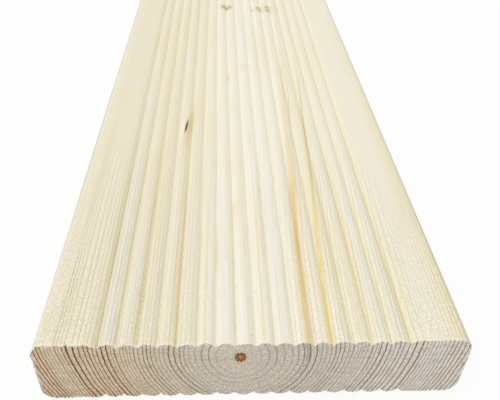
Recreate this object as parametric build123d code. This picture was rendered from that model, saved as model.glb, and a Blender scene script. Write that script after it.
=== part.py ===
from build123d import *

import os

# Reeded softwood decking board, sawn and planed from one piece of timber.
# It lies flat on its underside: X runs across the width, Y along the length and Z up.
# The origin is at the middle of the underside. Lengths are in millimetres.

# The planed blank
BOARD_WIDTH = 145.0
BOARD_THICKNESS = 28.0
BOARD_LENGTH = 2000.0
EDGE_RADIUS = 5.0

# The reeds, round ribs that run the whole length of both wide faces
REED_PITCH = 6.4
REED_DEPTH = 1.85
ROOT_RADIUS = 0.3
LEAST_MARGIN = 18.0

# As many whole reeds as the flat margins leave room for, with half a reed at each margin
REED_COUNT = int((BOARD_WIDTH - 2 * LEAST_MARGIN) // REED_PITCH) - 1

# Places across the section and levels in it, measured from the middle of the board
HALF_WIDTH = BOARD_WIDTH / 2
LAST_ROOT = REED_COUNT * REED_PITCH / 2
MARGIN_END = LAST_ROOT + REED_PITCH / 2
MARGIN_MIDDLE = (MARGIN_END + HALF_WIDTH) / 2
CREST_LEVEL = BOARD_THICKNESS / 2
ROOT_LEVEL = CREST_LEVEL - REED_DEPTH
FLANK_LEVEL = (CREST_LEVEL + ROOT_LEVEL) / 2


def reed(number):
    """One whole reed: an arc from root to root that rises to the level of the margins."""
    start = number * REED_PITCH - LAST_ROOT
    middle = start + REED_PITCH / 2
    end = start + REED_PITCH
    return ThreePointArc((start, ROOT_LEVEL), (middle, CREST_LEVEL), (end, ROOT_LEVEL))


def margin(side):
    """A flat margin, and the half reed by which it falls to the outermost root."""
    edge = (side * HALF_WIDTH, CREST_LEVEL)
    inner_end = (side * MARGIN_END, CREST_LEVEL)
    root = (side * LAST_ROOT, ROOT_LEVEL)
    return [Line(edge, inner_end), TangentArc(inner_end, root, tangent=(-side, 0))]


def wide_face():
    """The outline of the upper wide face, from one side of the board to the other."""
    reeds = [reed(number) for number in range(REED_COUNT)]
    return Curve() + margin(-1) + reeds + margin(1)


def section():
    """The board's section, alike on both wide faces, with rounded roots and rounded edges."""
    upper = wide_face()
    lower = mirror(upper, about=Plane.XZ)
    sides = [Line((x, -CREST_LEVEL), (x, CREST_LEVEL)) for x in (-HALF_WIDTH, HALF_WIDTH)]
    sharp = make_face(upper + lower + sides)
    roots = sharp.vertices().filter_by(lambda v: abs(v.Y) < FLANK_LEVEL)
    reeded = fillet(roots, ROOT_RADIUS)
    corners = reeded.vertices().filter_by(lambda v: abs(v.X) > MARGIN_MIDDLE)
    return fillet(corners, EDGE_RADIUS)


def decking_board():
    """The board: its section carried along its whole length, with both ends sawn square."""
    upright = Plane.XZ * section()
    far_end = Pos(0, BOARD_LENGTH / 2, CREST_LEVEL) * upright
    return extrude(far_end, amount=BOARD_LENGTH)


def main():
    os.makedirs("parts", exist_ok=True)
    export_step(decking_board(), "parts/decking_board.step")


main()
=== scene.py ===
import math
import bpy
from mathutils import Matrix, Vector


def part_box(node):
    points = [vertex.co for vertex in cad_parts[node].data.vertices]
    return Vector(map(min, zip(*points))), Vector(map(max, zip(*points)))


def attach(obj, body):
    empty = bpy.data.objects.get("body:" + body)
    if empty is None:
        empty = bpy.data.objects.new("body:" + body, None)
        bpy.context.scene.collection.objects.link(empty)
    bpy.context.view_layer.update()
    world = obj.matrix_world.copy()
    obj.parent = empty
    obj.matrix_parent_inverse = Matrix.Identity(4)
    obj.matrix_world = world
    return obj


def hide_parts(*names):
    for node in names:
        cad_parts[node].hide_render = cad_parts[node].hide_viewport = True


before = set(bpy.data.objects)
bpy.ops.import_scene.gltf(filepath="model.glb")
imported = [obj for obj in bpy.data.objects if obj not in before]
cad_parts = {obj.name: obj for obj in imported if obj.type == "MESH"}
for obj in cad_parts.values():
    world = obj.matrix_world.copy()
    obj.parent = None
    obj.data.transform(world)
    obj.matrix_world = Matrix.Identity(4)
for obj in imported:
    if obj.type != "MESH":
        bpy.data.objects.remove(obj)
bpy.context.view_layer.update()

from types import SimpleNamespace

import bpy
import numpy as np
from mathutils import Vector, noise

# A reeded softwood decking board lying flat, seen from just above its near end.
# Lengths in the mesh are in metres. The materials work in millimetres, measured from the near end.

NODE = "decking_board"
PIECE = "decking_board_timber"
_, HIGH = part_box(NODE)
HALF_WIDTH = HIGH.x
HALF_LENGTH = HIGH.y
THICKNESS = HIGH.z
MM = 1000.0
BOARD_LENGTH = HALF_LENGTH * 2 * MM

# The reeded section
REED_PITCH = 0.0064
REED_DEPTH = 0.00185
ROOT_RADIUS = 0.0003
EDGE_RADIUS = 0.005
REED_ROOTS = 17
HALF_PITCH = REED_PITCH / 2
REED_RADIUS = (HALF_PITCH ** 2 + REED_DEPTH ** 2) / (2 * REED_DEPTH)
MARGIN_END = REED_ROOTS * HALF_PITCH
CORNER_START = HALF_WIDTH - EDGE_RADIUS


def from_crest(across):
    """How far places across the board lie from the crest of their reed."""
    return np.abs((np.abs(across) - MARGIN_END + HALF_PITCH) % REED_PITCH - HALF_PITCH)


def face_drop(across):
    """How far a wide face lies below its crest level, at places across the board."""
    out = np.abs(across)
    away = from_crest(across)
    reed = REED_RADIUS - np.sqrt(REED_RADIUS ** 2 - away ** 2)
    from_root = HALF_PITCH - away
    joined = REED_RADIUS + ROOT_RADIUS
    root_centre = REED_RADIUS - math.sqrt(joined ** 2 - HALF_PITCH ** 2)
    root = root_centre + np.sqrt(np.maximum(ROOT_RADIUS ** 2 - from_root ** 2, 0))
    reed = np.where(from_root < HALF_PITCH * ROOT_RADIUS / joined, root, reed)
    past = np.maximum(out - CORNER_START, 0)
    corner = EDGE_RADIUS - np.sqrt(np.maximum(EDGE_RADIUS ** 2 - past ** 2, 0))
    return np.where(out < MARGIN_END, reed, corner)


# Places of the mesh's points
REED_SHARES = (0.03, 0.11, 0.2, 0.3, 0.4, 0.5, 0.6, 0.7, 0.8, 0.9, 1.0)
MARGIN_STEPS = 39
CORNER_STEPS = 10
SAME_PLACE_DIGITS = 7
END_STEPS = (0.0, 0.0009, 0.0018, 0.0035, 0.007, 0.015)
LENGTH_STEPS = 26
THICKNESS_ROWS = 40
ROWS_AT_EDGES = 0.4


def across_stations():
    """Places across the board, closest together where the section curves most."""
    places = []
    for number in range(REED_ROOTS):
        root = (number - (REED_ROOTS - 1) / 2) * REED_PITCH
        places.append(root)
        for share in REED_SHARES:
            places += [root - share * HALF_PITCH, root + share * HALF_PITCH]
    for side in (-1, 1):
        places += list(side * np.linspace(MARGIN_END, CORNER_START, MARGIN_STEPS))
        turn = np.linspace(0, math.pi / 2, CORNER_STEPS + 1)
        places += list(side * (CORNER_START + EDGE_RADIUS * np.sin(turn)))
    return np.unique(np.round(places, SAME_PLACE_DIGITS))


def along_stations():
    """Places along the board, closest at both sawn ends."""
    near = -HALF_LENGTH + np.array(END_STEPS)
    far = HALF_LENGTH - np.array(END_STEPS)
    between = np.linspace(near[-1], far[-1], LENGTH_STEPS)[1:-1]
    return np.concatenate([near, between, far[::-1]])


def thickness_shares():
    """Rows over a sawn end, from 0 at the underside to 1 at the top, closer at both."""
    even = np.linspace(0, 1, THICKNESS_ROWS + 1)
    return even + ROWS_AT_EDGES * (0.5 - 0.5 * np.cos(math.pi * even) - even)


# The sawn ends: the saw's waves, and the arris with its torn fibres, small chips, teeth and splinters
SAWN_SET_BACK = 0.00034
SAW_WAVE = 0.00022
SAW_WAVE_LONG = 0.03
SAW_WAVE_TALL = 0.0016
SAW_ROUGH = 0.00012
SAW_ROUGH_WIDTH = 0.0011
FIBRE_WIDTH = 0.0007
FIBRE_SHARE = 2.2
PATCH_WIDTH = 0.007
PATCH_SHARE = 1.2
CHIP_WIDTH = 0.0024
CHIP_DEEPEST = 0.0005
CHIP_FROM = 0.14
TORN_LONGEST = 0.0006
TORN_FADE = 0.0012
TORN_LEAST = 0.25
TORN_FULL_AT = -0.04
TOOTH_WIDTH = 0.0006
TOOTH_DEEPEST = 0.0006
TOOTH_FADE = 0.0008
TOOTH_SHARE = 1.6
TOOTH_ROW = 0.37
SPLINTER_WIDTH = 0.0003
SPLINTER_LONGEST = 0.001
SPLINTER_SPACING = REED_PITCH * 0.77
SPLINTER_VARIES = 3
SPLINTER_SHARE = 0.3

# Each end has its own part of the noise, and so has each kind of roughness in it
NEAR_SEED = 1.0
FAR_SEED = 101.0
WAVES, ROUGH, FIBRES, PATCHES, CHIPS, TEETH, SIDE_TEETH, SPLINTERS = range(0, 80, 10)
NOISE_MOST = 0.5


def roughness_at(across, up, wide, tall, seed):
    """Noise from about -0.5 to 0.5 at places on a sawn end, with features of a given size."""
    return np.array([NOISE_MOST * noise.noise((x / wide, z / tall, seed)) for x, z in zip(across, up)])


def even_roughness_at(across, up, width, seed):
    """The same, with features as tall as wide."""
    return roughness_at(across, up, width, width, seed)


def torn_reach(across):
    """How far the saw tore the fibres, most on the left."""
    return TORN_LONGEST * (TORN_LEAST + (1 - TORN_LEAST) * np.clip(across / TORN_FULL_AT, 0, 1))


def sawn_depth(across, up, seed):
    """How far a sawn end lies inside the board's length, deepest below the torn upper arris."""
    waves = roughness_at(across, up, SAW_WAVE_LONG, SAW_WAVE_TALL, seed + WAVES)
    rough = even_roughness_at(across, up, SAW_ROUGH_WIDTH, seed + ROUGH)
    below_top = THICKNESS - face_drop(across) - up
    torn = torn_reach(across) * np.exp(-below_top / TORN_FADE)
    return np.maximum(SAWN_SET_BACK + SAW_WAVE * waves + SAW_ROUGH * rough, 0) + torn


def arris_depth(across, up, seed):
    """The same along the arris, where torn fibres stand out and chips are missing."""
    fibres = even_roughness_at(across, up, FIBRE_WIDTH, seed + FIBRES)
    patches = even_roughness_at(across, up, PATCH_WIDTH, seed + PATCHES)
    chips = even_roughness_at(across, up, CHIP_WIDTH, seed + CHIPS)
    chips = np.maximum(chips - CHIP_FROM, 0) / (NOISE_MOST - CHIP_FROM)
    standing = np.clip(0.5 + fibres * FIBRE_SHARE + patches * PATCH_SHARE, 0, 1)
    deepest = SAWN_SET_BACK + torn_reach(across) * (up > THICKNESS / 2)
    return deepest * (1 - standing) + CHIP_DEEPEST * chips


def ragged_shift(across, up, seed):
    """How far places on a sawn end are pulled in near its outline, sideways and upwards, in fine teeth."""
    top = np.where(up > THICKNESS / 2, 1.0, -1.0)
    right = np.sign(across)
    from_face = np.minimum(up, THICKNESS - up) - face_drop(across)
    from_side = HALF_WIDTH - np.abs(across)
    teeth = roughness_at(across, TOOTH_ROW * top, TOOTH_WIDTH, 1.0, seed + TEETH)
    side_teeth = roughness_at(TOOTH_ROW * right, up, 1.0, TOOTH_WIDTH, seed + SIDE_TEETH)
    deepest = TOOTH_DEEPEST * torn_reach(across) / TORN_LONGEST
    sideways = deepest * np.clip(TOOTH_SHARE * side_teeth, 0, 1) * np.exp(-from_side / TOOTH_FADE)
    upwards = deepest * np.clip(TOOTH_SHARE * teeth, 0, 1) * np.exp(-from_face / TOOTH_FADE)
    return -right * sideways, -top * upwards


def splinters(across, up, seed):
    """How far torn splinters reach upwards or hang down in the valleys between the reeds."""
    from_root = HALF_PITCH - from_crest(across)
    in_reeds = np.abs(across) < MARGIN_END - HALF_PITCH / 2
    in_valley = np.clip(1 - from_root / SPLINTER_WIDTH, 0, 1) * in_reeds
    chance = roughness_at(across, up, SPLINTER_SPACING, THICKNESS, seed + SPLINTERS)
    chance = np.clip(chance * SPLINTER_VARIES + SPLINTER_SHARE, 0, 1)
    return np.where(up > THICKNESS / 2, 1, -1) * SPLINTER_LONGEST * in_valley * chance


# The UV map: the long faces in its lower part, a sawn end in each strip above them
MAP_EDGE = 0.008
LONG_TOP = 0.6
END_STRIPS = ((0.615, 0.8), (0.81, 0.992))
SHOWN_LENGTH = 0.36
SHOWN_SHARE = 0.4


def long_places(along, ring):
    """Map places for the long faces, with most room for the part near the first end."""
    stretch = np.interp(along + HALF_LENGTH, (0, SHOWN_LENGTH, 2 * HALF_LENGTH), (0, SHOWN_SHARE, 1))
    sideways = MAP_EDGE + (1 - 2 * MAP_EDGE) * stretch
    steps = np.linalg.norm(np.roll(ring, -1, axis=0) - ring, axis=1)
    walked = np.concatenate([[0], np.cumsum(steps)]) / steps.sum()
    upwards = MAP_EDGE + (LONG_TOP - MAP_EDGE) * walked
    places = np.empty((len(along) - 1, len(ring), 4, 2))
    places[..., 0] = np.stack([sideways[:-1], sideways[:-1], sideways[1:], sideways[1:]], -1)[:, None]
    places[..., 1] = np.stack([upwards[:-1], upwards[1:], upwards[1:], upwards[:-1]], -1)
    return places.reshape(-1, 4, 2)


def end_places(corners, strip):
    """Map places for a sawn end, from the corners of its faces."""
    low, high = strip
    sideways = MAP_EDGE + (1 - 2 * MAP_EDGE) * (corners[..., 0] / HALF_WIDTH + 1) / 2
    upwards = low + (high - low) * corners[..., 2] / THICKNESS
    return np.stack([sideways, upwards], -1)


# The board's mesh. Each end has its place among the sections, its seed and the direction into the board
ENDS = ((0, NEAR_SEED, 1), (-1, FAR_SEED, -1))


def outline_cells(columns, rows):
    """The rim of an end's grid: along the underside, up the right edge, back over the top, down the left."""
    cells = [(column, 0) for column in range(columns)]
    cells += [(columns - 1, row) for row in range(1, rows)]
    cells += [(column, rows - 1) for column in range(columns - 2, -1, -1)]
    cells += [(0, row) for row in range(rows - 2, 0, -1)]
    return np.array(cells)


def swept_points(along, ring_x, ring_z):
    """The section's outline at each place along the board, torn and ragged at both ends."""
    points = np.empty((len(along), len(ring_x), 3))
    points[:, :, 0] = ring_x
    points[:, :, 1] = along[:, None]
    points[:, :, 2] = ring_z
    for end, seed, inwards in ENDS:
        sideways, upwards = ragged_shift(ring_x, ring_z, seed)
        points[end, :, 0] += sideways
        points[end, :, 1] += inwards * arris_depth(ring_x, ring_z, seed)
        points[end, :, 2] += upwards + splinters(ring_x, ring_z, seed)
    return points.reshape(-1, 3)


def end_points(across, up, along, seed, inwards):
    """Points on a sawn end, inside its outline."""
    sideways, upwards = ragged_shift(across, up, seed)
    depth = inwards * sawn_depth(across, up, seed)
    return np.stack([across + sideways, along + depth, up + upwards], -1)


def swept_faces(sections, count):
    """Faces between neighbouring outlines of the sweep."""
    this = np.arange(count)
    following = (this + 1) % count
    starts = (np.arange(sections - 1) * count)[:, None]
    corners = [starts + this, starts + following, starts + count + following, starts + count + this]
    return np.stack(corners, -1).reshape(-1, 4)


def grid_faces(index):
    """Faces of a grid, from the numbers of its points."""
    corners = [index[:-1, :-1], index[1:, :-1], index[1:, 1:], index[:-1, 1:]]
    return np.stack(corners, -1).reshape(-1, 4)


def board_mesh():
    """The board as one closed mesh: its points and faces, which points are on a rim, and map places."""
    across = across_stations()
    along = along_stations()
    columns = len(across)
    rows = THICKNESS_ROWS + 1
    drop = face_drop(across)[:, None]
    height = drop + (THICKNESS - 2 * drop) * thickness_shares()[None, :]
    outline = outline_cells(columns, rows)
    count = len(outline)
    ring_x = across[outline[:, 0]]
    ring_z = height[outline[:, 0], outline[:, 1]]
    inner = np.zeros((columns, rows), bool)
    inner[1:-1, 1:-1] = True
    inner_x = across[np.nonzero(inner)[0]]
    inner_z = height[inner]

    points = swept_points(along, ring_x, ring_z)
    faces = [swept_faces(len(along), count)]
    places = [long_places(along, np.stack([ring_x, ring_z], -1))]
    rims = []
    for (end, seed, inwards), strip in zip(ENDS, END_STRIPS):
        rim = end % len(along) * count + np.arange(count)
        index = np.empty((columns, rows), int)
        index[outline[:, 0], outline[:, 1]] = rim
        index[inner] = len(points) + np.arange(inner.sum())
        points = np.concatenate([points, end_points(inner_x, inner_z, along[end], seed, inwards)])
        faces.append(grid_faces(index)[:, ::inwards])
        places.append(end_places(points[faces[-1]], strip))
        rims.append(rim)
    on_rim = np.zeros(len(points), bool)
    on_rim[np.concatenate(rims)] = True
    return points, np.concatenate(faces), on_rim, np.concatenate(places)


def build_board():
    """The board as an object, with smooth faces and sharp edges round both sawn ends."""
    points, faces, on_rim, places = board_mesh()
    mesh = bpy.data.meshes.new(PIECE)
    mesh.from_pydata(points.tolist(), [], faces.tolist())
    mesh.polygons.foreach_set("use_smooth", np.ones(len(faces), bool))
    pairs = np.empty(len(mesh.edges) * 2, np.int32)
    mesh.edges.foreach_get("vertices", pairs)
    mesh.edges.foreach_set("use_edge_sharp", on_rim[pairs.reshape(-1, 2)].all(axis=1))
    mesh.uv_layers.new(name="OFBake").data.foreach_set("uv", places.ravel())
    mesh.update()
    return bpy.data.objects.new(PIECE, mesh)


# Materials: signals that arithmetic turns into shader nodes


class Signal:
    """A value in a node tree. Arithmetic on it adds Math nodes."""

    def __init__(self, tree, socket):
        self.tree = tree
        self.socket = socket

    def math(self, operation, *others):
        node = self.tree.nodes.new("ShaderNodeMath")
        node.operation = operation
        for socket, value in zip(node.inputs, (self, *others)):
            plug(self.tree, value, socket)
        return Signal(self.tree, node.outputs[0])

    def __add__(self, other):
        return self.math("ADD", other)

    def __sub__(self, other):
        return self.math("SUBTRACT", other)

    def __mul__(self, other):
        return self.math("MULTIPLY", other)

    def __truediv__(self, other):
        return self.math("DIVIDE", other)

    def __pow__(self, other):
        return self.math("POWER", other)

    def __rsub__(self, other):
        return self * -1.0 + other

    def least(self, other):
        return self.math("MINIMUM", other)

    def most(self, other):
        return self.math("MAXIMUM", other)

    def size(self):
        return self.math("ABSOLUTE")

    def root(self):
        return self.math("SQRT")

    def lifted(self, least):
        """The same signal squeezed from 0 to 1 into least to 1."""
        return self * (1.0 - least) + least

    def step(self, low, high):
        """Rises smoothly from 0 at low to 1 at high. It falls where low is above high."""
        node = self.tree.nodes.new("ShaderNodeMapRange")
        node.interpolation_type = "SMOOTHSTEP"
        falls = low > high
        plug(self.tree, self, node.inputs["Value"])
        node.inputs["From Min"].default_value = min(low, high)
        node.inputs["From Max"].default_value = max(low, high)
        node.inputs["To Min"].default_value = 1.0 if falls else 0.0
        node.inputs["To Max"].default_value = 0.0 if falls else 1.0
        return Signal(self.tree, node.outputs["Result"])

    def hump(self, centre, width):
        """A smooth hump of height 1 about centre."""
        away = (self - centre) / width
        return (away * away * -1.0).math("EXPONENT")

    def curve(self, points, reach, most, straight=False):
        """A smooth or straight line from point to point, given over 0 to reach and from 0 to most."""
        node = self.tree.nodes.new("ShaderNodeFloatCurve")
        line = node.mapping.curves[0]
        places = [(x / reach, y / most) for x, y in points]
        line.points[0].location = places[0]
        line.points[1].location = places[-1]
        for place in places[1:-1]:
            line.points.new(*place)
        if straight:
            for point in line.points:
                point.handle_type = "VECTOR"
        node.mapping.update()
        plug(self.tree, self / reach, node.inputs["Value"])
        return Signal(self.tree, node.outputs["Value"]) * most


def plug(tree, value, socket):
    """Sends a signal to a socket, or sets a plain value on it."""
    if isinstance(value, Signal):
        tree.links.new(value.socket, socket)
    else:
        socket.default_value = value


def fractal(x, y, z, detail=2.0):
    """Noise about 0, between about -0.5 and 0.5."""
    tree = next(part.tree for part in (x, y, z) if isinstance(part, Signal))
    join = tree.nodes.new("ShaderNodeCombineXYZ")
    for part, socket in zip((x, y, z), join.inputs):
        plug(tree, part, socket)
    node = tree.nodes.new("ShaderNodeTexNoise")
    node.inputs["Scale"].default_value = 1.0
    node.inputs["Detail"].default_value = detail
    node.inputs["Roughness"].default_value = 0.5
    tree.links.new(join.outputs[0], node.inputs["Vector"])
    return Signal(tree, node.outputs["Fac"]) - 0.5


def grain(p, wide, long, detail=2.0):
    """The same in the timber, with features of a given width and length in millimetres."""
    return fractal(p.x / wide, p.y / long, p.z / wide, detail)


def blend(share, first, second):
    """A colour between two others, the second at a share of 1."""
    tree = share.tree
    node = tree.nodes.new("ShaderNodeMix")
    node.data_type = "RGBA"
    node.clamp_factor = True
    plug(tree, share, node.inputs[0])
    plug(tree, first, node.inputs[6])
    plug(tree, second, node.inputs[7])
    return Signal(tree, node.outputs[2])


def shade(colour, strength):
    """A colour made lighter or darker by a strength about 1."""
    tree = strength.tree
    node = tree.nodes.new("ShaderNodeVectorMath")
    node.operation = "SCALE"
    plug(tree, colour, node.inputs[0])
    plug(tree, strength, node.inputs["Scale"])
    return Signal(tree, node.outputs[0])


def split(tree, vector):
    """The three parts of a vector."""
    node = tree.nodes.new("ShaderNodeSeparateXYZ")
    tree.links.new(vector, node.inputs[0])
    return [Signal(tree, socket) for socket in node.outputs]


def linear(red, green, blue):
    """A colour given as display values from 0 to 255, as the linear colour that shaders use."""
    def channel(value):
        share = value / 255
        return share / 12.92 if share <= 0.04045 else ((share + 0.055) / 1.055) ** 2.4
    return channel(red), channel(green), channel(blue), 1.0


# The timber as a solid, in millimetres: p gathers what is known of a point.
# A pair of numbers named as a range says where something begins and where it is complete.


def board_place(tree):
    """Where a point lies, across from the middle, along from the near end and up, and how it faces."""
    coordinates = tree.nodes.new("ShaderNodeTexCoord")
    x, y, z = split(tree, coordinates.outputs["Object"])
    side, along, _ = split(tree, coordinates.outputs["Normal"])
    return SimpleNamespace(x=x * MM, y=y * MM + HALF_LENGTH * MM, z=z * MM, side=side, along=along)


def add_depths(p):
    """Adds how deep in a valley between reeds a point lies, and how far below the upper wide face."""
    out = p.x.size()
    shifted = out - (MARGIN_END - HALF_PITCH) * MM
    away = (shifted.math("FLOORED_MODULO", REED_PITCH * MM) - HALF_PITCH * MM).size()
    radius = REED_RADIUS * MM
    reed = (away * away * -1.0 + radius ** 2).root() * -1.0 + radius
    p.valley = reed * out.math("LESS_THAN", MARGIN_END * MM)
    past = (out - CORNER_START * MM).most(0.0)
    edge = EDGE_RADIUS * MM
    corner = (past * past * -1.0 + edge ** 2).most(0.0).root() * -1.0 + edge
    p.below_top = THICKNESS * MM - (p.valley + corner) - p.z


# The pith: its place at the near end, how far it wanders sideways along the board, and how it falls
PITH_X = -4.8
PITH_Z = 20.9
PITH_FALL = 0.002
PITH_SIDE_ROUTE = (
    (0, 0.0), (40, 1.0), (95, 4.5), (140, 6.4), (200, 9.6), (300, 12.0), (470, 9.5), (700, 3.0),
    (950, 5.0), (1250, 12.5), (1500, 10.0), (1750, 3.5), (2000, 6.0),
)
PITH_SIDE_MOST = 14.0
WANDER_MIDDLE = 28.0
WANDER_REACH = 38.0

# Rings stand a little taller than wide and rise towards both sides
RING_TALL = 0.9
RISE_LEFT = 0.112
RISE_LEFT_RANGE = (0.0, -14.0)
RISE_OUTER = 0.25
OUTER_FROM = 38.0
RISE_RIGHT = 0.125
RISE_RIGHT_RANGE = (12.0, 44.0)


def add_log_place(p):
    """Adds the place from the pith, which wanders along the board."""
    wander = p.y.curve(PITH_SIDE_ROUTE, BOARD_LENGTH, PITH_SIDE_MOST)
    p.u = p.x - PITH_X - wander * p.x.hump(WANDER_MIDDLE, WANDER_REACH)
    leftwards = p.u * -1.0
    rise = leftwards.most(0.0) * p.u.step(*RISE_LEFT_RANGE) * RISE_LEFT
    rise = rise + (leftwards - OUTER_FROM).most(0.0) * RISE_OUTER
    rise = rise + p.u.most(0.0) * p.u.step(*RISE_RIGHT_RANGE) * RISE_RIGHT
    p.w = (p.z - PITH_Z + p.y * PITH_FALL - rise) * RING_TALL
    p.round = (p.u * p.u + p.w * p.w).root()
    p.turn = p.w.math("ARCTAN2", p.u)


# Knots, branches that start at the pith: place along, direction in degrees, half width and lean
KNOTS = (
    (306, 134, 3.1, 0.3), (304, 30, 2.1, 0.2), (303, 22.5, 2.1, 0.2), (309, 262, 3.4, 0.2),
    (722, 62, 3.6, 0.2), (728, 171, 3.0, 0.1), (719, 300, 4.0, 0.2),
    (1178, 20, 3.2, 0.1), (1184, 122, 3.4, 0.2), (1175, 236, 4.2, 0.2),
    (1602, 84, 3.8, 0.2), (1608, 196, 3.2, 0.1), (1598, 318, 4.0, 0.2),
)
KNOT_FULL_AT = 14.0
KNOT_LEAST = 0.3
KNOT_MOST = 1.4
KNOT_OVAL = 0.3
KNOT_START_RANGE = (1.0, -2.0)
KNOT_FAR = 9.0
KNOT_PUSH = 2.6
KNOT_PUSH_FADE = 0.4


def add_knots(p):
    """Adds how near the closest knot is, 1 at its rim, and how much knots push the growth rings."""
    p.knot = None
    p.push = None
    for along, angle, size, lean in KNOTS:
        turn = math.radians(angle)
        out = p.u * math.cos(turn) + p.w * math.sin(turn)
        aside = p.w * math.cos(turn) - p.u * math.sin(turn)
        ahead = p.y - along - out * lean
        reach = (out / KNOT_FULL_AT).most(KNOT_LEAST).least(KNOT_MOST) * size
        near = (aside * aside + ahead * ahead * KNOT_OVAL).root() / reach
        near = near + out.step(*KNOT_START_RANGE) * KNOT_FAR
        push = (near * near * -KNOT_PUSH_FADE).math("EXPONENT")
        p.knot = near if p.knot is None else p.knot.least(near)
        p.push = push if p.push is None else p.push + push


# Growth rings, from the pith outwards: where each year ends on the left, and how dark it is
GROWTH_RINGS = (
    (3.0, 0.05), (6.0, 0.10), (8.4, 0.30), (10.9, 0.45), (13.2, 0.45), (15.3, 0.20), (17.3, 0.20),
    (18.8, 0.40), (20.2, 0.55), (21.9, 0.70), (23.8, 0.60), (25.4, 0.25), (26.8, 0.20), (28.2, 0.25),
    (29.6, 0.50), (30.8, 0.60), (32.1, 0.55), (33.6, 0.30), (35.0, 0.50), (36.2, 0.25), (37.2, 0.35),
    (38.2, 0.35), (39.4, 0.30), (41.1, 0.60), (42.1, 0.40), (43.5, 1.00), (45.2, 0.95), (46.8, 0.65),
    (48.0, 0.50), (49.5, 0.75), (50.8, 0.70), (52.6, 0.60), (54.5, 1.00), (56.6, 0.95), (57.8, 0.70),
    (58.9, 0.30), (60.0, 0.60), (61.3, 0.25), (62.3, 0.30), (63.5, 0.40), (64.8, 0.60), (66.1, 0.90),
    (67.4, 0.90), (68.7, 0.90), (70.2, 0.75), (71.7, 0.80), (73.2, 0.60), (74.7, 0.80),
    (76.2, 0.65), (77.8, 0.80),
)
RING_REACH = 80.0

# On the right the rings grow wider outwards, and those at the heart lie further in. All wobble a little
RIGHT_TURN_RANGE = (-0.4, 0.4)
ROUND_LEAST = 0.5
WIDER_RIGHT = 0.064
HEART_SHIFT = 1.7
HEART_SHIFT_RANGE = (26.0, 10.0)
WOBBLE_RANGE = (2.0, 12.0)
BROAD_WOBBLE = 0.9
BROAD_WOBBLE_GRAIN = (11.0, 260.0)
FINE_WOBBLE = 0.5
FINE_WOBBLE_GRAIN = (1.6, 70.0)


def add_growth(p):
    """Adds the radius in the log, how far a year has gone, and how dark that year is."""
    wobble = grain(p, *BROAD_WOBBLE_GRAIN) * BROAD_WOBBLE + grain(p, *FINE_WOBBLE_GRAIN) * FINE_WOBBLE
    p.rightwards = (p.u / p.round.most(ROUND_LEAST)).step(*RIGHT_TURN_RANGE)
    wider = p.round.step(*HEART_SHIFT_RANGE) * HEART_SHIFT - p.round * WIDER_RIGHT
    p.radius = p.round + wider * p.rightwards + wobble * p.round.step(*WOBBLE_RANGE) - p.push * KNOT_PUSH
    last = len(GROWTH_RINGS) + 1
    ends = [(radius, number + 1) for number, (radius, _) in enumerate(GROWTH_RINGS)]
    ends = [(0, 0)] + ends + [(RING_REACH, last)]
    years = p.radius.curve(ends, RING_REACH, last, straight=True)
    year = years.math("FLOOR")
    p.season = years - year
    strengths = [(number + 0.5, strength) for number, (_, strength) in enumerate(GROWTH_RINGS)]
    strengths = [(0, strengths[0][1])] + strengths + [(last, strengths[-1][1])]
    p.strength = (year + 0.5).curve(strengths, last, 1.0, straight=True)


# Late wood: when in the year it begins, later at the heart and crisper on the right, and where it is faint
LATE_BEGINS = 0.62
LATE_BEGINS_AT_HEART = 0.1
LATE_HEART_RANGE = (28.0, 10.0)
LATE_BEGINS_RIGHT = 0.09
LATE_RAMP = 0.24
LATE_RAMP_RIGHT = 0.1
LATE_END_RANGE = (1.0, 0.95)
FAINT_AT_PITH = 0.3
FAINT_AT_PITH_RANGE = (5.0, 10.0)
FAINT_BELOW = 0.5
FAINT_BELOW_RANGE = (-2.0, -9.0)
FAINT_BELOW_REACH = 14.0
EVEN_RANGE = (36.0, 52.0)
EVEN_LOSS = 0.45
EVEN_GAIN = 0.2
LINE_LEAST = 0.15


def add_late_wood(p):
    """Adds the late wood, dark where the year ends."""
    begins = p.radius.step(*LATE_HEART_RANGE) * LATE_BEGINS_AT_HEART
    begins = begins + p.rightwards * LATE_BEGINS_RIGHT + LATE_BEGINS
    ramp = LATE_RAMP - p.rightwards * LATE_RAMP_RIGHT
    late = ((p.season - begins) / ramp).most(0.0).least(1.0) * p.season.step(*LATE_END_RANGE)
    below = p.w.step(*FAINT_BELOW_RANGE) * p.u.hump(0.0, FAINT_BELOW_REACH)
    shown = p.radius.step(*FAINT_AT_PITH_RANGE).lifted(FAINT_AT_PITH) * (1.0 - below * FAINT_BELOW)
    outer = p.rightwards * p.radius.step(*EVEN_RANGE)
    even = p.strength * (1.0 - outer * EVEN_LOSS) + outer * EVEN_GAIN
    p.line = late * even.lifted(LINE_LEAST) * shown


# Fine grain: fibres on planed faces, speckle and saw lines on sawn ends, and the weave that planing leaves
FIBRE_GRAIN = (0.42, 14.0)
SPECKLE_GRAIN = (0.46, 4.0)
WEAVE_GRAIN = (0.45, 1.0)
SAW_LINE_LONG = 22.0
SAW_LINE_DEEP = 4.0
SAW_LINE_TALL = 0.6
SAWN_TURN_RANGE = (0.45, 0.65)


def add_fine_grain(p):
    """Adds where the board is sawn and not planed, and its finest features."""
    p.sawn = p.along.size().step(*SAWN_TURN_RANGE)
    p.fibre = grain(p, *FIBRE_GRAIN, detail=3.0)
    p.speckle = grain(p, *SPECKLE_GRAIN, detail=1.0)
    p.weave = grain(p, *WEAVE_GRAIN, detail=1.0)
    p.saw_lines = fractal(p.x / SAW_LINE_LONG, p.y / SAW_LINE_DEEP, p.z / SAW_LINE_TALL, detail=1.0)


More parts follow.
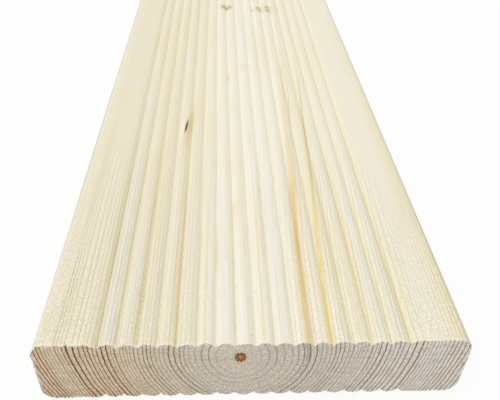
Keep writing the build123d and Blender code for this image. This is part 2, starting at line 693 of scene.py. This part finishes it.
# Colours of planed long grain, as they are seen
CREAM = linear(244, 238, 218)
PALE = linear(248, 245, 234)
STRAW = linear(240, 226, 180)
OCHRE = linear(229, 215, 168)
# Milky and butter paint light on reed flanks that face left; olive and greige paint shade on flanks that
# face right
MILKY = linear(252, 247, 230)
LILAC = linear(233, 230, 219)
AMBER = linear(232, 199, 114)
YELLOW = linear(242, 216, 116)
LIT_FLANK_BUTTER = linear(252, 246, 220)
SHADED_FLANK_OLIVE = linear(227, 214, 152)
LATE_LONG = linear(174, 154, 118)
LATE_EDGE = linear(190, 150, 104)
# painted shade for the rounding of the long edges
EDGE_SHADE_GREY = linear(186, 178, 164)
EDGE_SHADE_DARK = linear(166, 154, 138)
RESIN = linear(184, 160, 98)
SHADED_FLANK_GREIGE = linear(230, 225, 211)
# pale torn fibres, partly their own colour and partly painted light
TORN_FIBRE_PALE_AND_LIT = linear(250, 245, 231)

# Colours of sawn end grain
END_WARM = linear(227, 210, 180)
END_TAN = linear(224, 188, 150)
END_MIDDLE = linear(219, 208, 192)
END_COOL = linear(232, 224, 213)
LATE_WARM = linear(78, 40, 10)
LATE_COOL = linear(76, 52, 32)

# Colours of the pith, knots and marks
PITH_BROWN = linear(194, 138, 92)
PITH_DARK = linear(74, 46, 20)
PITH_HALO = linear(218, 192, 158)
KNOT_HEART = linear(224, 210, 172)
KNOT_RIM = linear(164, 146, 98)
KNOT_HALO = linear(240, 222, 184)
KNOT_BROWN = linear(204, 160, 112)
KNOT_BROWN_RIM = linear(138, 92, 52)
BARK = linear(92, 68, 26)
POCKET_HALO = linear(222, 200, 142)
SPECK_BROWN = linear(160, 128, 84)
FLECK_YELLOW = linear(214, 186, 70)
STAIN = linear(240, 222, 172)

# What the layers of planed colour share: a stretch in which the grain shows less, the reeded middle,
# the pale heart about the pith, and slow changes from place to place
SOFT_MOST = 0.75
SOFT_BEGIN_RANGE = (20.0, 170.0)
SOFT_END_RANGE = (560.0, 400.0)
REEDED_RANGE = (57.0, 52.0)
HEART_PLACE = 3.0
HEART_REACH = 13.0
BROAD_WIDE = 7.0
BROAD_LONG = 240.0
BROAD_TALL = 14.0
PATCH_GRAIN = (6.0, 60.0)
PATCH_MIDDLE = 0.75
UPPER_RANGE = (20.0, 24.0)


def add_planed_places(p):
    """Adds what the layers of planed colour share."""
    p.contrast = 1.0 - p.y.step(*SOFT_BEGIN_RANGE) * p.y.step(*SOFT_END_RANGE) * SOFT_MOST
    p.reeded = p.x.size().step(*REEDED_RANGE)
    p.heart = p.u.hump(HEART_PLACE, HEART_REACH)
    p.broad = fractal(p.x / BROAD_WIDE, p.y / BROAD_LONG, p.z / BROAD_TALL, detail=1.0)
    p.patches = grain(p, *PATCH_GRAIN) + PATCH_MIDDLE
    p.upper = p.z.step(*UPPER_RANGE)


# The ground of planed long grain: tints by place, streaks and drifts
HEART_TINT = 0.85
HEART_TINT_LOSS = 0.5
HEART_TINT_LOSS_RANGE = (60.0, 200.0)
LEFT_TINT = 0.25
LEFT_TINT_RANGE = (-12.0, -26.0)
EDGE_TINT = 0.45
EDGE_TINT_RANGE = (62.0, 68.5)
EDGE_TINT_END_RANGE = (220.0, 120.0)
STREAK_GRAIN = (1.3, 330.0)
STREAK_ON_MARGINS = 0.4
STREAK_WHERE_SOFT = 0.25
STREAK_WARM = 0.7
STREAK_WARM_RANGE = (0.01, 0.18)
STREAK_COOL = 0.6
STREAK_COOL_RANGE = (-0.01, -0.18)
DRIFT_GRAIN = (8.0, 90.0)
DRIFT_TINT = 0.25
DRIFT_RANGE = (0.0, 0.2)


def planed_ground(p):
    """Long grain without its lines: pale near the pith, with soft streaks along the board."""
    streak = grain(p, *STREAK_GRAIN, detail=3.0) * p.reeded.lifted(STREAK_ON_MARGINS)
    streak = streak * p.contrast.lifted(STREAK_WHERE_SOFT)
    drift = grain(p, *DRIFT_GRAIN, detail=1.0)
    at_heart = p.heart * (HEART_TINT - p.y.step(*HEART_TINT_LOSS_RANGE) * HEART_TINT_LOSS)
    at_edge = p.x.step(*EDGE_TINT_RANGE) * p.y.step(*EDGE_TINT_END_RANGE)
    colour = blend(at_heart, CREAM, PALE)
    colour = blend(p.x.step(*LEFT_TINT_RANGE) * LEFT_TINT, colour, OCHRE)
    colour = blend(at_edge * EDGE_TINT, colour, STRAW)
    colour = blend(streak.step(*STREAK_WARM_RANGE) * STREAK_WARM, colour, STRAW)
    colour = blend(streak.step(*STREAK_COOL_RANGE) * STREAK_COOL, colour, LILAC)
    return blend(drift.step(*DRIFT_RANGE) * DRIFT_TINT, colour, STRAW)


# Painted light and shade on the reeds: a warm painted shade on flanks that face right, a bright painted
# light on flanks that face left, and an ochre painted shade in the valleys
SHADED_FLANK_TURN_RANGE = (0.12, 0.7)
SHADED_FLANK_SHARE = 0.2
SHADED_FLANK_VARIES = 1.4
SHADED_FLANK_OLIVE_RANGE = (28.0, 36.0)
LIT_FLANK_TURN_RANGE = (-0.12, -0.7)
LIT_FLANK_SHARE = 0.35
LIT_FLANK_BUTTER_RANGE = (26.0, 44.0)
VALLEY_SHADE_RANGE = (1.4, 1.85)
VALLEY_SHADE_SHARE = 0.1
VALLEY_SHADE_VARIES = 2.0


def with_painted_reed_light(p, colour):
    """Painted shade on the flanks that face right and ochre painted shade in the valleys, painted light on
    the flanks that face left.
    """
    flank = blend(p.heart, blend(p.x.step(*SHADED_FLANK_OLIVE_RANGE), OCHRE, SHADED_FLANK_OLIVE), SHADED_FLANK_GREIGE)
    # painted shade: warmer, darker colour on flanks that face right, away from the lamp
    warm = p.side.step(*SHADED_FLANK_TURN_RANGE) * (p.broad * SHADED_FLANK_VARIES + SHADED_FLANK_SHARE) * p.contrast
    colour = blend(warm, colour, flank)
    sunny = blend(p.x.step(*LIT_FLANK_BUTTER_RANGE), MILKY, LIT_FLANK_BUTTER)
    # painted light: brighter colour on flanks that face left, towards the lamp
    colour = blend(p.side.step(*LIT_FLANK_TURN_RANGE) * (LIT_FLANK_SHARE - p.broad), colour, sunny)
    # painted shade: ochre deep in the valleys between the reeds
    deep = p.valley.step(*VALLEY_SHADE_RANGE) * (p.broad * VALLEY_SHADE_VARIES + VALLEY_SHADE_SHARE) * p.contrast
    return blend(deep, colour, OCHRE)


# Streaks along the margins and the valleys between the reeds: place across, half width, strength and colour.
# Those in the valleys are partly grain and resin, partly painted shade
STREAKS_AND_VALLEY_SHADE = (
    (-64.7, 0.3, 0.35, LATE_EDGE), (-63.5, 0.3, 0.35, LATE_EDGE), (-50.9, 0.3, 0.5, LATE_LONG),
    (-51.7, 0.9, 0.7, OCHRE), (-45.2, 0.7, 0.3, STRAW), (-38.8, 0.6, 0.2, STRAW),
    (-26.0, 0.8, 0.3, AMBER), (-18.8, 0.7, 0.4, STRAW), (37.8, 0.8, 0.35, YELLOW),
    (44.2, 0.9, 0.4, STRAW), (50.6, 1.0, 0.5, STRAW),
)
WAVER = 1.2
WAVER_LONG = 45.0
WAVER_WIDE = 20.0


def with_streaks_and_valley_shade(p, colour):
    """Warm streaks that waver a little as they run along the upper face, partly painted shade in the
    valleys.
    """
    waver = p.x + fractal(0.0, p.y / WAVER_LONG, p.x / WAVER_WIDE, detail=1.0) * WAVER
    for across, half_width, strength, tint in STREAKS_AND_VALLEY_SHADE:
        # partly painted shade: yellow and ochre streaks at the valley roots
        share = waver.hump(across, half_width) * p.upper * p.patches * p.contrast
        colour = blend(share * strength, colour, tint)
    return colour


# Two growth rings rich in resin on the right of the pith, and a fine dark line by each further along:
# radius, half width and strength
RESIN_SIDE_RANGE = (4.0, 12.0)
AMBER_RING = 21.6
AMBER_HALF = 1.0
AMBER_SHIFT = 0.7
AMBER_SHIFT_RANGE = (60.0, 95.0)
AMBER_FAR = 0.25
AMBER_FADE_RANGE = (150.0, 50.0)
YELLOW_RING = 28.0
YELLOW_HALF = 0.75
YELLOW_SHIFT = 0.6
YELLOW_SHIFT_RANGE = (10.0, 35.0)
YELLOW_SHIFT_END_RANGE = (95.0, 60.0)
YELLOW_FAR = 0.35
YELLOW_FADE_RANGE = (160.0, 10.0)
RESIN_LINES = ((28.6, 0.3, 0.7), (22.5, 0.3, 0.4))
RESIN_BEGIN_RANGE = (60.0, 95.0)
RESIN_END_RANGE = (230.0, 150.0)


def with_resin(p, colour):
    """Amber and yellow resin in two growth rings, which also hides their late wood."""
    right = p.u.step(*RESIN_SIDE_RANGE)
    amber_place = p.radius + p.y.step(*AMBER_SHIFT_RANGE) * AMBER_SHIFT
    amber = amber_place.hump(AMBER_RING, AMBER_HALF) * right * p.patches
    amber = amber * p.y.step(*AMBER_FADE_RANGE).lifted(AMBER_FAR)
    shift = p.y.step(*YELLOW_SHIFT_RANGE) * p.y.step(*YELLOW_SHIFT_END_RANGE) * YELLOW_SHIFT
    yellow = (p.radius - shift).hump(YELLOW_RING, YELLOW_HALF) * right * p.patches
    yellow = yellow * p.y.step(*YELLOW_FADE_RANGE).lifted(YELLOW_FAR)
    colour = blend(amber, colour, AMBER)
    colour = blend(yellow, colour, YELLOW)
    stretch = p.y.step(*RESIN_BEGIN_RANGE) * p.y.step(*RESIN_END_RANGE) * right
    outer, inner = [p.radius.hump(ring, half) * strength for ring, half, strength in RESIN_LINES]
    p.clear_of_resin = 1.0 - amber - yellow
    return blend((outer + inner) * stretch * p.patches, colour, RESIN)


# Late wood on planed faces: how much of it shows, by place
BROKEN_RANGE = (-0.25, 0.1)
BROKEN_LEAST = 0.7
LATE_EDGE_RANGE = (54.0, 70.0)
LINES_SHOWN = 0.6
MARGIN_RANGE = (52.0, 56.0)
MARGIN_LOSS = 0.12
MARGIN_LOSS_FAR = 0.38
MARGIN_FAR_RANGE = (60.0, 180.0)
RIGHT_EDGE_GAIN = 0.5
RIGHT_EDGE_RANGE = (60.0, 69.0)
LEFT_EDGE_LOSS = 0.2
LEFT_EDGE_RANGE = (-64.5, -68.0)
DARK_YEAR_LOSS = 0.35
DARK_YEAR_RANGE = (0.6, 1.0)
HEART_LOSS = 0.7
RESIN_LEAST = 0.2


def with_growth_lines(p, colour):
    """Growth lines: late wood cut along the grain, fine and a little broken."""
    late = blend(p.x.step(*LATE_EDGE_RANGE), LATE_LONG, LATE_EDGE)
    margin_loss = p.y.step(*MARGIN_FAR_RANGE) * MARGIN_LOSS_FAR + MARGIN_LOSS
    shown = LINES_SHOWN - p.x.step(*MARGIN_RANGE) * margin_loss
    shown = shown + p.x.step(*RIGHT_EDGE_RANGE) * RIGHT_EDGE_GAIN
    shown = shown - p.x.step(*LEFT_EDGE_RANGE) * LEFT_EDGE_LOSS
    shown = shown * (1.0 - p.strength.step(*DARK_YEAR_RANGE) * DARK_YEAR_LOSS) * (1.0 - p.heart * HEART_LOSS)
    broken = p.weave.step(*BROKEN_RANGE).lifted(BROKEN_LEAST)
    share = p.line * broken * p.contrast * shown * p.clear_of_resin.most(RESIN_LEAST)
    return blend(share, colour, late)


# Painted shade along the rounding of both long edges: dark on the right, grey on the left only away from the
# near end
EDGE_SHADE_SHARE = 0.6
EDGE_SHADE_RANGE = (0.5, 0.85)
EDGE_SHADE_END_RANGE = (0.97, 0.87)
EDGE_SHADE_LEFT_RANGE = (-0.5, -0.88)
EDGE_SHADE_LEFT_END_RANGE = (-0.99, -0.92)
EDGE_SHADE_LEFT_ALONG_RANGE = (20.0, 120.0)


def with_painted_edge_shade(p, colour):
    """A line of painted shade on the rounding of both long edges."""
    off_reeds = 1.0 - p.reeded
    right = p.side.step(*EDGE_SHADE_RANGE) * p.side.step(*EDGE_SHADE_END_RANGE) * EDGE_SHADE_SHARE
    left = p.side.step(*EDGE_SHADE_LEFT_RANGE) * p.side.step(*EDGE_SHADE_LEFT_END_RANGE)
    left = left * p.y.step(*EDGE_SHADE_LEFT_ALONG_RANGE) * EDGE_SHADE_SHARE
    # painted shade: darker on the right rounding, which turns away from the lamp, grey on the left
    colour = blend(right * off_reeds, colour, EDGE_SHADE_DARK)
    return blend(left * off_reeds, colour, EDGE_SHADE_GREY)


# Light and dark in planed grain: fibres, the planer's ripple, a weave near the end, and painted light that
# lifts the far valleys against their shade
PLANER_PITCH = 1.3
PLANER_SHADE = 0.008
FIBRE_SHADE = 0.2
WEAVE_SHADE = 0.1
WEAVE_SHADE_NEAR = 0.55
WEAVE_SHADE_LOSS = 0.2
WEAVE_NEAR_RANGE = (110.0, 5.0)
PAINTED_VALLEY_LIGHT = 0.08
PAINTED_VALLEY_LIGHT_RANGE = (0.5, 1.85)


def with_fibres(p, colour):
    """Fibres and planer marks, and painted light in the valleys where the grain shows less."""
    ripple = (p.y * (2 * math.pi / PLANER_PITCH)).math("SINE")
    near = p.y.step(*WEAVE_NEAR_RANGE) * (WEAVE_SHADE_NEAR - p.reeded * WEAVE_SHADE_LOSS)
    weave = p.weave * ((near + WEAVE_SHADE) * (1.0 - p.heart))
    # painted light: valleys made lighter where the grain shows less, against their shade
    valley_light = p.valley.step(*PAINTED_VALLEY_LIGHT_RANGE) * (1.0 - p.contrast) * PAINTED_VALLEY_LIGHT
    strength = p.fibre * FIBRE_SHADE * p.contrast + weave + ripple * PLANER_SHADE + valley_light + 1.0
    return shade(colour, strength)


# Soft stains on the pale middle of the upper face: place across and along, half width and length, strength
STAINS = (
    (2.0, 206.0, 1.8, 5.0, 0.5), (-6.5, 194.0, 1.6, 7.0, 0.4), (-4.0, 156.0, 1.5, 9.0, 0.35),
    (3.0, 122.0, 1.0, 11.0, 0.4), (-5.0, 70.0, 1.3, 6.0, 0.5), (-12.6, 46.0, 0.7, 13.0, 0.5),
    (4.6, 46.0, 0.7, 12.0, 0.55),
)


def with_stains(p, colour):
    """Soft warm stains on the pale middle of the upper face."""
    for across, along, half_width, half_length, strength in STAINS:
        spot = p.x.hump(across, half_width) * p.y.hump(along, half_length)
        colour = blend(spot * p.upper * strength, colour, STAIN)
    return colour


# A bark pocket in the upper face, with an ochre halo on its right and a bright one on its left.
# Each halo has a place and half width across, a place and half length along, a strength and a colour
POCKET_ACROSS = -28.3
POCKET_ALONG = 136.0
POCKET_LEAN = 0.08
POCKET_HALF_WIDTH = 0.55
POCKET_HALF_LENGTH = 6.0
POCKET_UPPER_RANGE = (21.0, 25.0)
POCKET_RIM_RANGE = (1.5, 0.4)
POCKET_ROUGH = 0.5
POCKET_GRAIN = (0.5, 2.0)
POCKET_HALOS = ((1.6, 1.6, 0.0, 17.0, 0.7, POCKET_HALO), (-1.8, 1.0, -2.0, 9.0, 0.6, MILKY))


def with_bark_pocket(p, colour):
    """A sliver of bark grown into the upper face."""
    ahead = p.y - POCKET_ALONG
    aside = p.x - POCKET_ACROSS - ahead * POCKET_LEAN
    upper = p.z.step(*POCKET_UPPER_RANGE)
    for across, half_width, along, half_length, strength, tint in POCKET_HALOS:
        halo = aside.hump(across, half_width) * ahead.hump(along, half_length) * upper
        colour = blend(halo * strength, colour, tint)
    out = (aside / POCKET_HALF_WIDTH) ** 2.0 + (ahead / POCKET_HALF_LENGTH) ** 2.0
    out = out.root() + grain(p, *POCKET_GRAIN) * POCKET_ROUGH
    return blend(out.step(*POCKET_RIM_RANGE) * upper, colour, BARK)


# Small specks on the upper face: place across and along, size and colour
SPECKS = (
    (-3.6, 47.0, 0.5, SPECK_BROWN), (-9.4, 40.0, 0.45, SPECK_BROWN), (-1.2, 34.3, 0.4, SPECK_BROWN),
    (-5.5, 25.9, 0.5, SPECK_BROWN), (-11.4, 20.3, 0.4, SPECK_BROWN), (0.7, 23.8, 0.45, SPECK_BROWN),
    (-1.2, 4.1, 0.55, SPECK_BROWN), (-7.1, 9.7, 0.6, FLECK_YELLOW), (-6.5, 7.8, 0.6, FLECK_YELLOW),
)
SPECK_OVAL = 0.6
SPECK_CORE = 0.2
SPECK_SHARE = 0.3
SPECK_UPPER_RANGE = (24.0, 26.0)


def with_specks(p, colour):
    """A few brown specks and a yellow fleck on the pale middle of the upper face."""
    upper = p.z.step(*SPECK_UPPER_RANGE)
    for across, along, size, tint in SPECKS:
        away = ((p.x - across) ** 2.0 + ((p.y - along) * SPECK_OVAL) ** 2.0).root()
        colour = blend(away.step(size, size * SPECK_CORE) * upper * SPECK_SHARE, colour, tint)
    return colour


PLANED_LAYERS = (
    with_painted_reed_light, with_streaks_and_valley_shade, with_resin, with_growth_lines, with_painted_edge_shade, with_fibres,
    with_stains, with_bark_pocket, with_specks,
)


def planed_colour(p):
    """Planed long grain, with everything that lies on it."""
    add_planed_places(p)
    colour = planed_ground(p)
    for layer in PLANED_LAYERS:
        colour = layer(p, colour)
    return colour


# Sawn end grain: a ground that is warm on the left and cool on the right, rosy before strong late wood,
# with speckle, rays and saw lines, one broad dark ring, and late wood that is more broken on the right
SAWN_LEFT_RANGE = (-8.0, -50.0)
SAWN_RIGHT_RANGE = (14.0, 52.0)
ROSY_LEFT = 0.75
ROSY_RIGHT = 0.15
ROSY_YEAR_RANGE = (0.3, 0.95)
ROSY_SEASON_RANGE = (0.0, 0.5)
SPECKLE_SHADE = 2.0
RAY_SHADE = 0.4
RAY_TURN = 40.0
RAY_LONG = 5.0
SAW_LINE_SHADE = 0.4
BROAD_RING = 21.2
BROAD_RING_HALF = 0.7
BROAD_RING_SHARE = 0.3
BROAD_RING_SIDE_RANGE = (10.0, 18.0)
BROAD_RING_UP_RANGE = (-12.0, 0.0)
GAP_SHARE = 0.4
GAP_SHARE_RIGHT = 0.3
GAP_RANGE = (-0.18, 0.12)
LATE_SHARE = 1.4
LATE_SHARE_RIGHT = 0.2


def sawn_colour(p):
    """End grain: dark late wood on a speckled ground, warmer on the left."""
    left = p.x.step(*SAWN_LEFT_RANGE)
    right = p.x.step(*SAWN_RIGHT_RANGE)
    ground = blend(left, END_MIDDLE, END_WARM)
    ground = blend(right, ground, END_COOL)
    rosy = p.strength.step(*ROSY_YEAR_RANGE) * (left * ROSY_LEFT + right * ROSY_RIGHT)
    ground = blend(p.season.step(*ROSY_SEASON_RANGE) * rosy, ground, END_TAN)
    rays = fractal(p.turn * RAY_TURN, p.round / RAY_LONG, 0.0, detail=1.0)
    strength = p.speckle * SPECKLE_SHADE + rays * RAY_SHADE + p.saw_lines * SAW_LINE_SHADE + 1.0
    ground = shade(ground, strength)
    late = blend(left, LATE_COOL, LATE_WARM)
    broad_ring = p.radius.hump(BROAD_RING, BROAD_RING_HALF) * BROAD_RING_SHARE
    broad_ring = broad_ring * p.u.step(*BROAD_RING_SIDE_RANGE) * p.w.step(*BROAD_RING_UP_RANGE)
    gaps = right * GAP_SHARE_RIGHT + GAP_SHARE
    broken = p.speckle.step(*GAP_RANGE) * gaps - gaps + 1.0
    share = p.line * broken * (right * LATE_SHARE_RIGHT + LATE_SHARE)
    return blend(share.most(broad_ring), ground, late)


# Knots are pale with an olive rim near the first end, and brown with a crisp dark rim further along.
# The first ones on the right show only on flanks that face right, away from the lamp, and not past 26 mm
# across: partly painted shade
KNOT_ROUGH = 0.35
KNOT_GRAIN = (2.2, 3.0)
KNOT_BROWN_RANGE = (420.0, 600.0)
KNOT_RING_COUNT = 16.0
KNOT_RING_SHADE = 0.12
KNOT_LIT_FLANK_RANGE = (0.15, -0.25)
KNOT_HIDDEN_ACROSS_RANGE = (25.0, 26.0)
KNOT_HIDDEN_SIDE_RANGE = (4.0, 12.0)
KNOT_HIDDEN_END_RANGE = (420.0, 330.0)
PALE_RIM = 0.8
PALE_RIM_RANGE = (0.3, 0.85)
BROWN_RIM = 0.75
BROWN_RIM_RANGE = (0.7, 0.95)
BROWN_HEART = 0.2
BROWN_HEART_RANGE = (0.1, 0.7)
KNOT_HALO_SHARE = 0.5
KNOT_HALO_RANGE = (2.6, 1.0)
KNOT_SOFT = 0.85
KNOT_SOFT_RANGE = (1.5, 0.6)
KNOT_CRISP = 0.95
KNOT_CRISP_RANGE = (1.12, 0.96)


def with_knots(p, colour):
    """Knots, each with a heart, a darker rim and a warm halo."""
    near = p.knot + grain(p, *KNOT_GRAIN) * KNOT_ROUGH
    brown = p.y.step(*KNOT_BROWN_RANGE)
    # partly painted shade: near knots on the right are hidden on flanks that face left, towards the lamp
    knot_hidden_where_lit = p.side.step(*KNOT_LIT_FLANK_RANGE).most(p.x.step(*KNOT_HIDDEN_ACROSS_RANGE))
    knot_hidden_where_lit = knot_hidden_where_lit * p.y.step(*KNOT_HIDDEN_END_RANGE) * p.x.step(*KNOT_HIDDEN_SIDE_RANGE)
    heart = blend(brown, KNOT_HEART, KNOT_BROWN)
    rim = blend(brown, KNOT_RIM, KNOT_BROWN_RIM)
    rings = (near * KNOT_RING_COUNT).math("SINE") * brown * KNOT_RING_SHADE
    pale_rim = near.step(*PALE_RIM_RANGE) * PALE_RIM
    brown_rim = near.step(*BROWN_RIM_RANGE) * BROWN_RIM + near.step(*BROWN_HEART_RANGE) * BROWN_HEART
    inside = blend(pale_rim + (brown_rim - pale_rim) * brown + rings, heart, rim)
    colour = blend(near.step(*KNOT_HALO_RANGE) * KNOT_HALO_SHARE, colour, KNOT_HALO)
    soft = near.step(*KNOT_SOFT_RANGE) * KNOT_SOFT
    crisp = near.step(*KNOT_CRISP_RANGE) * KNOT_CRISP
    return blend((soft + (crisp - soft) * brown) * (1.0 - knot_hidden_where_lit), colour, inside)


# The pith is an oval of orange-brown with a ring of dark spots. Places in it count from 0 to 1 at its rim
PITH_WIDE = 1.95
PITH_TALL = 2.2
PITH_ROUGH = 0.25
PITH_GRAIN = (0.7, 25.0)
PITH_SPOTS = 9
PITH_SPOT_TWIST = 2.0
PITH_SPOT_ROUGH = 6.0
PITH_SPOT_RANGE = (-0.5, 0.4)
PITH_SPOT_START_RANGE = (0.15, 0.5)
PITH_HALO_SHARE = 0.7
PITH_HALO_RANGE = (1.75, 1.05)
PITH_RIM_RANGE = (1.06, 0.94)


def with_pith(p, colour):
    """The pith: an orange-brown heart with a ring of dark spots and a pale halo."""
    rough = grain(p, *PITH_GRAIN) * PITH_ROUGH
    out = ((p.u / PITH_WIDE) ** 2.0 + (p.w / PITH_TALL) ** 2.0).root() + rough
    spots = p.turn * PITH_SPOTS + out * PITH_SPOT_TWIST + rough * PITH_SPOT_ROUGH
    spots = spots.math("SINE").step(*PITH_SPOT_RANGE) * out.step(*PITH_SPOT_START_RANGE)
    heart = blend(spots, PITH_BROWN, PITH_DARK)
    colour = blend(out.step(*PITH_HALO_RANGE) * PITH_HALO_SHARE, colour, PITH_HALO)
    return blend(out.step(*PITH_RIM_RANGE), colour, heart)


# Fibres torn at the saw cut, pale partly in their own colour and partly as painted light where they stand
# out and catch light from above
FINE_JAGS = 4.0
FINE_JAG_WIDTH = 0.4
BROAD_JAGS = 3.0
BROAD_JAG_WIDTH = 4.0
FRINGE_ON_FACE = 0.7
FRINGE_ON_FACE_RANGE = (1.6, 0.4)
FRINGE_ON_END = 0.9
FRINGE_ON_END_RANGE = (0.7, 0.1)
FRINGE_RIGHT = 0.3
FRINGE_LEFT_RANGE = (0.0, -40.0)


def with_torn_edge(p, colour):
    """A pale broken fringe of torn fibres along the arris, most of it on the left: partly their own pale
    colour, partly painted light.
    """
    jags = fractal(p.x / FINE_JAG_WIDTH, 0.0, p.z / FINE_JAG_WIDTH, detail=1.0) * FINE_JAGS
    jags = jags + fractal(p.x / BROAD_JAG_WIDTH, 0.0, p.z / BROAD_JAG_WIDTH) * BROAD_JAGS
    from_end = (p.y - BOARD_LENGTH / 2).size() * -1.0 + BOARD_LENGTH / 2
    from_arris = p.below_top.least(p.x + HALF_WIDTH * MM)
    on_face = (from_end + jags).step(*FRINGE_ON_FACE_RANGE) * (1.0 - p.sawn) * FRINGE_ON_FACE
    on_end = (from_arris + jags).step(*FRINGE_ON_END_RANGE) * p.sawn * FRINGE_ON_END
    worn = p.x.step(*FRINGE_LEFT_RANGE).lifted(FRINGE_RIGHT)
    # partly painted light: torn fibres made as pale as lit ones, also on the end face
    return blend((on_face + on_end) * worn, colour, TORN_FIBRE_PALE_AND_LIT)


# Gloss and the finest relief, in millimetres
ROUGHNESS = 0.58
ROUGHNESS_SAWN = 0.25
ROUGHNESS_FIBRE = 0.25
GLOSS_LEVEL = 0.3
FIBRE_RELIEF = 0.05
LINE_RELIEF = 0.02
SPECKLE_RELIEF = 0.2
SAW_LINE_RELIEF = 0.1
SAWN_LINE_RELIEF = 0.06


def fine_relief(p):
    """The height of the finest relief: fibres where planed, speckle and saw lines where sawn."""
    planed = p.fibre * FIBRE_RELIEF + p.line * LINE_RELIEF
    sawn = p.speckle * SPECKLE_RELIEF + p.saw_lines * SAW_LINE_RELIEF - p.line * SAWN_LINE_RELIEF
    return planed + (sawn - planed) * p.sawn


def timber_material():
    """Softwood: growth rings round a wandering pith, planed along the grain and sawn across it."""
    material = bpy.data.materials.new("planed_softwood")
    material.use_nodes = True
    tree = material.node_tree
    shader = tree.nodes["Principled BSDF"]
    p = board_place(tree)
    for add in (add_depths, add_log_place, add_knots, add_growth, add_late_wood, add_fine_grain):
        add(p)

    colour = blend(p.sawn, planed_colour(p), sawn_colour(p))
    for layer in (with_knots, with_pith, with_torn_edge):
        colour = layer(p, colour)
    plug(tree, colour, shader.inputs["Base Color"])
    roughness = p.sawn * ROUGHNESS_SAWN + p.fibre * ROUGHNESS_FIBRE + ROUGHNESS
    plug(tree, roughness, shader.inputs["Roughness"])
    shader.inputs["Specular IOR Level"].default_value = GLOSS_LEVEL

    bump = tree.nodes.new("ShaderNodeBump")
    bump.inputs["Strength"].default_value = 1.0
    bump.inputs["Distance"].default_value = 1.0 / MM
    plug(tree, fine_relief(p), bump.inputs["Height"])
    tree.links.new(bump.outputs[0], shader.inputs["Normal"])
    return material


# Floor and light
FLOOR_SIZE = 12.0
FLOOR_WHITE = 1.0
FLOOR_BOUNCE = 0.75
SHADOW_SHARE = 0.13
SKY_WHITE = (1.0, 1.0, 1.0, 1.0)
SKY_STRENGTH = 0.8
SUN_STRENGTH = 0.6
SUN_SPREAD = math.radians(60)
SUN_DIRECTION = Vector((0.65, 0.15, -1.0))


def seen_directly(tree):
    """1 for what the camera, gloss or clear surfaces show, 0 for the light that falls on things."""
    path = tree.nodes.new("ShaderNodeLightPath")
    direct = Signal(tree, path.outputs["Is Camera Ray"])
    direct = direct.most(Signal(tree, path.outputs["Is Glossy Ray"]))
    return direct.most(Signal(tree, path.outputs["Is Transmission Ray"]))


def floor_material():
    """A matt pale floor that shows white, with a soft shadow."""
    material = bpy.data.materials.new("pale_floor")
    material.use_nodes = True
    tree = material.node_tree
    tree.nodes.remove(tree.nodes["Principled BSDF"])
    matt = tree.nodes.new("ShaderNodeBsdfDiffuse")
    plug(tree, seen_directly(tree) * (FLOOR_WHITE - FLOOR_BOUNCE) + FLOOR_BOUNCE, matt.inputs["Color"])
    white = tree.nodes.new("ShaderNodeEmission")
    mixed = tree.nodes.new("ShaderNodeMixShader")
    plug(tree, seen_directly(tree) * (1.0 - SHADOW_SHARE), mixed.inputs[0])
    tree.links.new(matt.outputs[0], mixed.inputs[1])
    tree.links.new(white.outputs[0], mixed.inputs[2])
    tree.links.new(mixed.outputs[0], tree.nodes["Material Output"].inputs["Surface"])
    return material


def make_floor():
    """A wide flat floor at the board's underside."""
    half = FLOOR_SIZE / 2
    corners = [(-half, -half, 0), (half, -half, 0), (half, half, 0), (-half, half, 0)]
    mesh = bpy.data.meshes.new("floor")
    mesh.from_pydata(corners, [], [(0, 1, 2, 3)])
    mesh.materials.append(floor_material())
    floor = bpy.data.objects.new("floor", mesh)
    bpy.context.scene.collection.objects.link(floor)


def make_light():
    """An even pale sky, and a broad soft lamp high on the left."""
    world = bpy.data.worlds.new("studio")
    bpy.context.scene.world = world
    world.use_nodes = True
    tree = world.node_tree
    background = tree.nodes["Background"]
    background.inputs["Color"].default_value = SKY_WHITE
    plug(tree, seen_directly(tree) * (1.0 - SKY_STRENGTH) + SKY_STRENGTH, background.inputs["Strength"])
    lamp = bpy.data.lights.new("soft_lamp", "SUN")
    lamp.energy = SUN_STRENGTH
    lamp.angle = SUN_SPREAD
    lamp_object = bpy.data.objects.new("soft_lamp", lamp)
    lamp_object.rotation_euler = SUN_DIRECTION.to_track_quat("-Z", "Y").to_euler()
    bpy.context.scene.collection.objects.link(lamp_object)


# The camera stands close over the near end and looks along the board
CAMERA_PLACE = Vector((-0.01166, -HALF_LENGTH - 0.11629, 0.17819))
CAMERA_TURN = (math.radians(51.953), math.radians(-1.795), math.radians(-2.457))
FOCAL_PIXELS = 572.73
IMAGE_WIDTH = 500
SENSOR_WIDTH = 36.0
NEAREST_SEEN = 0.01


def make_camera():
    """The camera, with the photo's place, direction and angle of view."""
    camera = bpy.data.cameras.new("camera")
    camera.sensor_width = SENSOR_WIDTH
    camera.lens = FOCAL_PIXELS * SENSOR_WIDTH / IMAGE_WIDTH
    camera.clip_start = NEAREST_SEEN
    camera_object = bpy.data.objects.new("camera", camera)
    camera_object.location = CAMERA_PLACE
    camera_object.rotation_euler = CAMERA_TURN
    bpy.context.scene.collection.objects.link(camera_object)
    bpy.context.scene.camera = camera_object


board = build_board()
board.data.materials.append(timber_material())
bpy.context.scene.collection.objects.link(board)
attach(board, "root")
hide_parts(NODE)

make_floor()
make_light()
make_camera()
bpy.context.scene.view_settings.view_transform = "Standard"
